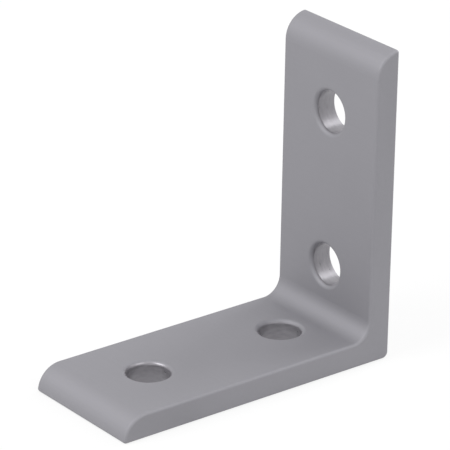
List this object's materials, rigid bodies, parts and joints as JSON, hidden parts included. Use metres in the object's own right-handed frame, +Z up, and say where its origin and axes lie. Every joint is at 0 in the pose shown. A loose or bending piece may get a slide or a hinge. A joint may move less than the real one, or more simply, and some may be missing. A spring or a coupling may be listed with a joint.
{
  "type": "t slot corner bracket",
  "caption": "Right-angle inside corner bracket of extruded aluminium with rounded tips, drilled for bolts, that joins slotted framing profiles square.",
  "frame": {"origin": "middle of the foot's two bolt holes, on the foot's flat seating face, which is also the middle of the base", "axes": "+X along the foot towards its rounded tip, +Z up along the upright, which stands at the -X end with its seating face towards -X, +Y across the width"},
  "size_m": [0.05, 0.022, 0.05],
  "materials": {
    "anodised_aluminium": "tumbled and clear anodised, satin grey, with bright drilled hole walls"
  },
  "bodies": {
    "root": {"corner_bracket": "anodised_aluminium"}
  },
  "joints": []
}
